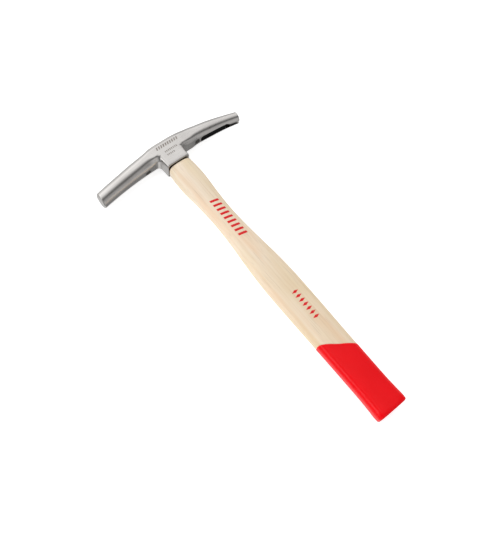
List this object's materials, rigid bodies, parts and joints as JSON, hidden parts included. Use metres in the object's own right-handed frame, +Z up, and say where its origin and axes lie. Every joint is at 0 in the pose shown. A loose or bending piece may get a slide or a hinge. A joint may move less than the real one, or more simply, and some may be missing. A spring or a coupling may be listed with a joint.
{
  "type": "magnetic tack hammer",
  "caption": "Slim arched double-faced tack hammer head with a split magnetic face, on a straight hickory handle with a dipped grip end.",
  "frame": {"origin": "middle of the bounding box's base, with the hammer lying on its back cheek and butt", "axes": "+Y from the butt to the head's crown along the handle, +X along the head towards the split magnetic face, +Z up out of the front cheek"},
  "size_m": [0.1348, 0.269, 0.017],
  "materials": {
    "forged_steel": "satin, fine ground, with forging shade in the corners",
    "magnet_black": "black ferrite, matte",
    "hickory": "pale straight-grained hickory under clear lacquer",
    "wedge_hardwood": "darker hardwood, end grain",
    "wedge_iron": "plain mild steel, driven edge burnished",
    "red_dip": "glossy dipped coating"
  },
  "bodies": {
    "root": {"hammer_head": "forged_steel", "magnet_bar": "magnet_black", "hickory_handle": "hickory", "wooden_wedge": "wedge_hardwood", "steel_wedge": "wedge_iron", "red_dip_coating": "red_dip"}
  },
  "joints": []
}
